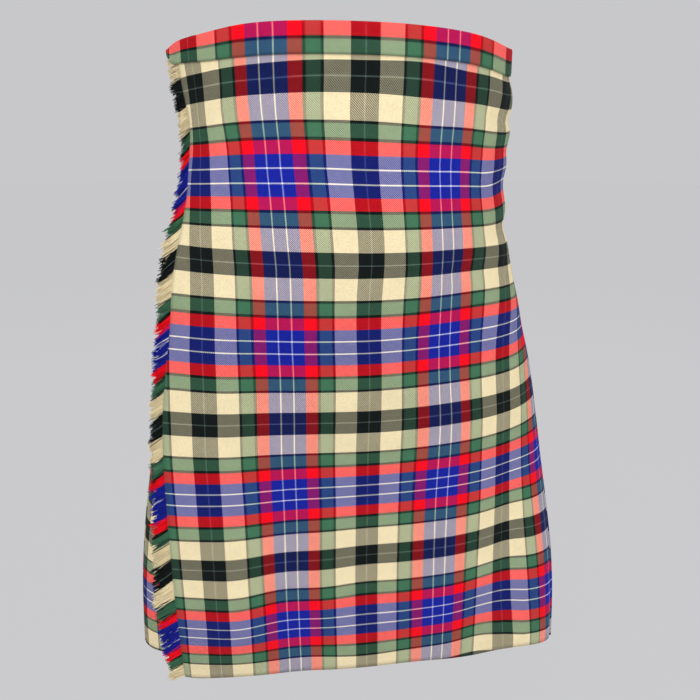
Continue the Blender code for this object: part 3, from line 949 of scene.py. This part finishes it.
def makeFringeRoots():
    # The dense inner part of the fringe, where the yarns lie side by side
    chance = np.random.default_rng(fringe["seed"])
    drops = np.linspace(fringe["start"], fringe["end"], fringe["matRows"])
    ragged = 1 + fringe["matRagged"] * chance.standard_normal(len(drops))
    near = fringe["rippleRows"]
    ripple = np.convolve(chance.standard_normal(len(drops) + near - 1), np.ones(near) / 3, "valid")
    points, rows = [], []
    for k, drop in enumerate(drops):
        root, way, reach = fringeRoot(drop)
        rowHere = fringeRow(drop)
        outward = np.cross(way, (0, 0, 1.0))
        outward /= np.linalg.norm(outward)
        for share in np.linspace(0, 1, fringe["matColumns"]):
            sag = np.array([0, 0, fringe["matSag"] * reach * share ** 2])
            arch = fringe["matRise"] * math.sin(math.pi * share)
            rise = outward * (arch + fringe["matRipple"] * ripple[k] * share)
            points.append(root + way * reach * fringe["matShare"] * ragged[k] * share + sag + rise)
            rows.append(rowHere)
    wide = fringe["matColumns"]
    faces = [
        (row * wide + k, row * wide + k + 1, (row + 1) * wide + k + 1, (row + 1) * wide + k)
        for row in range(len(drops) - 1)
        for k in range(wide - 1)
    ]
    roots = addMesh("apronFringeRoots", points, faces, yarnMaterial)
    addValues(roots.data, "rowDrop", rows)
    solid = roots.modifiers.new("thickness", "SOLIDIFY")
    solid.thickness = fringe["matThickness"]
    solid.offset = 0
    return roots


def newTree(name, inputs):
    # A geometry tree with named inputs; returns it and the wires of those inputs
    tree = bpy.data.node_groups.new(name, "GeometryNodeTree")
    tree.interface.new_socket("Geometry", in_out="INPUT", socket_type="NodeSocketGeometry")
    for label, kind in inputs:
        tree.interface.new_socket(label, in_out="INPUT", socket_type="NodeSocket" + kind)
    tree.interface.new_socket("Geometry", in_out="OUTPUT", socket_type="NodeSocketGeometry")
    group = tree.nodes.new("NodeGroupInput")
    wires = {socket.name: Wire(tree, socket) for socket in group.outputs if socket.name}
    return tree, wires


def endTree(tree, geometry, material):
    whole = addNode(tree, "GeometryNodeRealizeInstances", None, {"Geometry": geometry})
    dressed = addNode(tree, "GeometryNodeSetMaterial", None, {"Geometry": whole, "Material": material})
    out = tree.nodes.new("NodeGroupOutput")
    tree.links.new(dressed.socket, out.inputs[0])


def runTree(carrier, tree, given, name):
    # Grows the tree on its carrier and keeps the result as a plain mesh
    modifier = carrier.modifiers.new(tree.name, "NODES")
    modifier.node_group = tree
    for item in tree.interface.items_tree:
        if item.in_out == "INPUT" and item.name in given:
            modifier[item.identifier] = given[item.name]
    graph = bpy.context.evaluated_depsgraph_get()
    mesh = bpy.data.meshes.new_from_object(carrier.evaluated_get(graph))
    carrier.modifiers.remove(modifier)
    mesh.name = name
    made = bpy.data.objects.new(name, mesh)
    bpy.context.scene.collection.objects.link(made)
    return made


def randomWire(tree, low, high, seed, kind="FLOAT"):
    settings = {"data_type": kind}
    first = 0 if kind == "FLOAT_VECTOR" else 2
    inputs = {first: low, first + 1: high, "Seed": seed}
    return addNode(tree, "FunctionNodeRandomValue", settings, inputs, 0 if kind == "FLOAT_VECTOR" else 1)


def namedValue(tree, name, kind="FLOAT"):
    return addNode(tree, "GeometryNodeInputNamedAttribute", {"data_type": kind}, {"Name": name})


def yarnTree():
    tree, given = newTree("fringe yarns", (
        ("Yarns", "Int"), ("Length Spread", "Float"), ("Thickness", "Float"), ("Taper", "Float"),
        ("Tuft", "Float"), ("Gather Tips", "Float"), ("Way Spread", "Float"),
        ("Depth Spread", "Float"), ("Stray Rows", "Float"), ("Seed", "Int")))
    curve = addNode(tree, "GeometryNodeMeshToCurve", None, {"Mesh": given["Geometry"]})
    spots = addNode(tree, "GeometryNodeCurveToPoints", {"mode": "COUNT"},
                    {"Curve": curve, "Count": given["Yarns"]})
    shift = randomWire(tree, (-1, -1, -1), (1, 1, 1), given["Seed"], "FLOAT_VECTOR")
    shift = scaled(tree, shift, given["Depth Spread"])
    spots = addNode(tree, "GeometryNodeSetPosition", None, {"Geometry": spots, "Offset": shift})
    reach = namedValue(tree, "yarnReach")
    row = namedValue(tree, "rowDrop")
    way = namedValue(tree, "yarnWay", "FLOAT_VECTOR")
    inTuft = (row / given["Tuft"]).fraction() - 0.5
    tuftNumber = (row / given["Tuft"]).floor()
    tuftWay = addNode(tree, "ShaderNodeTexWhiteNoise", {"noise_dimensions": "1D"}, {"W": tuftNumber}, 1)
    tuftWay = colourMath(tree, "SUBTRACT", tuftWay, (0.5, 0.5, 0.5))
    tuftWay = scaled(tree, tuftWay, given["Way Spread"] * 2.2)
    ownWay = randomWire(tree, (-1, -1, -1), (1, 1, 1), given["Seed"] + 1, "FLOAT_VECTOR")
    ownWay = scaled(tree, ownWay, given["Way Spread"])
    gather = addNode(tree, "ShaderNodeCombineXYZ", None, {2: inTuft * given["Gather Tips"]})
    for more in (tuftWay, ownWay, gather):
        way = colourMath(tree, "ADD", way, more)
    turn = addNode(tree, "FunctionNodeAlignRotationToVector", {"axis": "X"}, {"Vector": way})
    roll = addNode(tree, "FunctionNodeEulerToRotation", None, {0: addNode(
        tree, "ShaderNodeCombineXYZ", None,
        {0: randomWire(tree, -fringe["roll"], fringe["roll"], given["Seed"] + 2)})})
    turn = addNode(tree, "FunctionNodeRotateRotation", {"rotation_space": "LOCAL"},
                   {"Rotation": turn, "Rotate By": roll})
    longer = randomWire(tree, -1.0, fringe["longestShare"], given["Seed"] + 3)
    size = reach * (1 + longer * given["Length Spread"])
    stray = randomWire(tree, -1.0, 1.0, given["Seed"] + 4)
    stray = row + stray * stray * stray * given["Stray Rows"]
    spots = addNode(tree, "GeometryNodeStoreNamedAttribute", {"data_type": "FLOAT", "domain": "POINT"},
                    {"Geometry": spots, "Name": "rowDrop", "Value": stray})
    yarn = addNode(tree, "GeometryNodeCurveQuadraticBezier", None,
                   {"Resolution": 4, "Start": (0, 0, 0), "Middle": (0.5, 0, fringe["curlUp"]),
                    "End": (1, 0, fringe["curlDown"])})
    thin = given["Thickness"] / fringe["usualLength"]
    share = addNode(tree, "GeometryNodeSplineParameter")
    circle = addNode(tree, "GeometryNodeCurvePrimitiveCircle", None, {"Resolution": 3, "Radius": 1.0})
    width = thin * (1.0 - share * given["Taper"])
    strand = addNode(tree, "GeometryNodeCurveToMesh", None,
                     {"Curve": yarn, "Profile Curve": circle, "Scale": width, "Fill Caps": True})
    grown = addNode(tree, "GeometryNodeInstanceOnPoints", None,
                    {"Points": spots, "Instance": strand, "Rotation": turn, "Scale": size})
    endTree(tree, grown, yarnMaterial)
    return tree


fringeRoots = makeFringeRoots()
carrier = fringeLine()
apronFringe = runTree(carrier, yarnTree(), {
    "Yarns": fringe["yarns"], "Length Spread": fringe["lengthSpread"],
    "Thickness": fringe["thickness"], "Taper": fringe["taper"], "Tuft": fringe["tuft"],
    "Gather Tips": fringe["gatherTips"], "Way Spread": fringe["waySpread"],
    "Depth Spread": fringe["depthSpread"], "Stray Rows": fringe["strayRows"],
    "Seed": fringe["seed"]}, "apronFringeYarns")
bpy.data.objects.remove(carrier)
print("stage: fringe ready", len(apronFringe.data.polygons))

# The straps' stitching: a row beside each edge, one across the tip and a box where the strap is
# sewn to the waistband. Along counts from the middle of the buckle towards the tip.
stitching = {
    "fromEdge": 0.0025,
    "strapWidth": 0.021,
    "surface": 0.0049,
    "box": 0.018,
    "tip": 0.046,
    "pitch": 0.0034,
    "length": 0.0025,
    "thickness": 0.00028,
    "waySpread": 0.07,
    "seed": 3,
    "rowPoints": 60,
    "crossPoints": 9,
    "routeAlongs": (-0.090, -0.016, -0.010, 0.003, 0.010, 0.016, 0.024, 0.034, 0.046),
    "routeLifts": (0.0, 0.0, 0.0005, 0.0034, 0.0036, 0.0034, 0.0028, 0.0027, 0.0027),
    "sides": {"right": (0.075, 1, -0.045), "left": (-0.020, -1, -0.072)},
}


def strapPoint(centre, way, along, fromMiddle):
    drop = kilt["bandHeight"] / 2 + fromMiddle
    out = stitching["surface"] + np.interp(along, stitching["routeAlongs"], stitching["routeLifts"])
    return places(drop, [centre + way * along], [out])[0]


def stitchLines(side):
    # The rows of stitches as a mesh of lines
    offset, way, start = stitching["sides"][side]
    middle = kilt["bandHeight"] / 2
    centre = offset + (rightEdge(middle) if side == "right" else clothLine(middle)["leftSide"])
    inset = stitching["fromEdge"]
    edge = stitching["strapWidth"] / 2 - inset
    first, last = start + inset, stitching["tip"] - inset
    lengthways = np.linspace(first, last, stitching["rowPoints"])
    crossways = np.linspace(-edge, edge, stitching["crossPoints"])
    rows = [[(a, e) for a in lengthways] for e in (-edge, edge)]
    rows += [[(a, e) for e in crossways] for a in (first, start + stitching["box"], last)]
    points, edges = [], []
    for row in rows:
        edges += [(len(points) + k, len(points) + k + 1) for k in range(len(row) - 1)]
        points += [strapPoint(centre, way, along, across) for along, across in row]
    mesh = bpy.data.meshes.new(side + " stitch lines")
    mesh.from_pydata([tuple(p) for p in points], edges, [])
    made = bpy.data.objects.new(side + "StitchLines", mesh)
    bpy.context.scene.collection.objects.link(made)
    return made


def stitchTree():
    inputs = (("Pitch", "Float"), ("Stitch Length", "Float"), ("Thickness", "Float"), ("Seed", "Int"))
    tree, given = newTree("strap stitches", inputs)
    curve = addNode(tree, "GeometryNodeMeshToCurve", None, {"Mesh": given["Geometry"]})
    sampling = {"Curve": curve, "Length": given["Pitch"]}
    spots = addNode(tree, "GeometryNodeCurveToPoints", {"mode": "LENGTH"}, sampling)
    tangent = Wire(tree, spots.socket.node.outputs["Tangent"])
    chance = randomWire(tree, (-1, -1, -1), (1, 1, 1), given["Seed"], "FLOAT_VECTOR")
    way = colourMath(tree, "ADD", tangent, scaled(tree, chance, stitching["waySpread"]))
    turn = addNode(tree, "FunctionNodeAlignRotationToVector", {"axis": "X"}, {"Vector": way})
    line = addNode(tree, "GeometryNodeCurveQuadraticBezier", None,
                   {"Resolution": 6, "Start": (-0.5, 0, 0), "Middle": (0, 0, 0), "End": (0.5, 0, 0)})
    share = addNode(tree, "GeometryNodeSplineParameter")
    away = share * 2 - 1
    width = (1.04 - away * away * away * away) * (given["Thickness"] / given["Stitch Length"])
    circle = addNode(tree, "GeometryNodeCurvePrimitiveCircle", None, {"Resolution": 6, "Radius": 1.0})
    stitch = addNode(tree, "GeometryNodeCurveToMesh", None,
                     {"Curve": line, "Profile Curve": circle, "Scale": width, "Fill Caps": True})
    grown = addNode(tree, "GeometryNodeInstanceOnPoints", None,
                    {"Points": spots, "Instance": stitch, "Rotation": turn,
                     "Scale": given["Stitch Length"]})
    endTree(tree, grown, threadMaterial)
    return tree


stitchGrowth = stitchTree()
for side in stitching["sides"]:
    carrier = stitchLines(side)
    stitches = runTree(carrier, stitchGrowth, {
        "Pitch": stitching["pitch"], "Stitch Length": stitching["length"],
        "Thickness": stitching["thickness"], "Seed": stitching["seed"]}, side + "StrapStitches")
    bpy.data.objects.remove(carrier)
    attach(stitches, "root")
print("stage: stitching ready")

# Each new piece rides on the root, and the CAD parts that it takes the place of are hidden
fringePieces = (apronFringe, fringeRoots)
pieceOfCloth(frontApron, ["front_apron"])
for number, piece in enumerate(pleats):
    pieceOfCloth(piece, ["pleat_%02d" % (number + 1)])
pieceOfCloth(underApron, ["under_apron"])
pieceOfCloth(waistband, ["waistband"])
pieceOfCloth(underWaistband, ["under_waistband"])
for piece in fringePieces:
    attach(piece, "root")
    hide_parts("apron_fringe")

for side in ("right", "left"):
    for part, material in (("strap", leatherMaterial), ("buckle_tab", leatherMaterial),
                           ("buckle", metalMaterial), ("prong", metalMaterial)):
        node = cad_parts[side + "_" + part]
        node.data.materials.clear()
        node.data.materials.append(material)

# The camera, solved from where the tartan's stripes cross in the photograph
view = {
    "place": (-0.0993, -0.7283, -0.092),
    "tiltDown": 14.8,
    "turn": 7.9,
    "focal": 37.03,
    "sensor": 36.0,
}
cameraData = bpy.data.cameras.new("camera")
cameraData.lens = view["focal"]
cameraData.sensor_width = view["sensor"]
camera = bpy.data.objects.new("camera", cameraData)
camera.location = view["place"]
camera.rotation_euler = (math.radians(90 - view["tiltDown"]), 0, math.radians(-view["turn"]))
bpy.context.scene.collection.objects.link(camera)
bpy.context.scene.camera = camera

# A plain pale floor and soft light. Each lamp has a name, a place, an aim, a size and a power.
studio = {
    "paint": (0.06, 0.06, 0.06),
    "glow": (0.537, 0.537, 0.549),
    "floor": -0.95,
    "reach": 30.0,
    "corners": 96,
    "world": (0.578, 0.578, 0.591),
    "lamps": (
        ("key", (-0.9, -2.2, 1.3), (0, 0, -0.3), 1.6, 44),
        ("fill", (1.6, -1.6, 0.4), (0, 0, -0.3), 2.0, 16),
        ("rear", (0.4, 2.2, 1.6), (0, 0, -0.2), 2.0, 24),
    ),
}


def makeFloor():
    # A wide disc that is as bright as the world behind it, so no horizon shows
    fixed = {"Specular_IOR_Level": 0.0, "Base_Color": (*studio["paint"], 1)}
    fixed.update({"Emission_Color": (*studio["glow"], 1), "Emission_Strength": 1.0})
    material = newMaterial("studio grey", 1.0, **fixed)[0]
    reach, count = studio["reach"], studio["corners"]
    turns = [2 * math.pi * k / count for k in range(count)]
    points = [(reach * math.cos(a), reach * math.sin(a), studio["floor"]) for a in turns]
    floor = addMesh("studioFloor", points, [tuple(range(count))], material)


def makeLamp(name, place, aim, size, power):
    data = bpy.data.lights.new(name, "AREA")
    data.shape = "DISK"
    data.size = size
    data.energy = power
    lamp = bpy.data.objects.new(name, data)
    lamp.location = place
    lamp.rotation_euler = (Vector(aim) - Vector(place)).to_track_quat("-Z", "Y").to_euler()
    bpy.context.scene.collection.objects.link(lamp)


makeFloor()
for lamp in studio["lamps"]:
    makeLamp(*lamp)
world = bpy.data.worlds.new("studio") if bpy.context.scene.world is None else bpy.context.scene.world
bpy.context.scene.world = world
world.use_nodes = True
backdrop = world.node_tree.nodes["Background"]
backdrop.inputs["Color"].default_value = (*studio["world"], 1)
backdrop.inputs["Strength"].default_value = 1.0
bpy.context.scene.view_settings.view_transform = "Standard"
print("stage: studio ready")
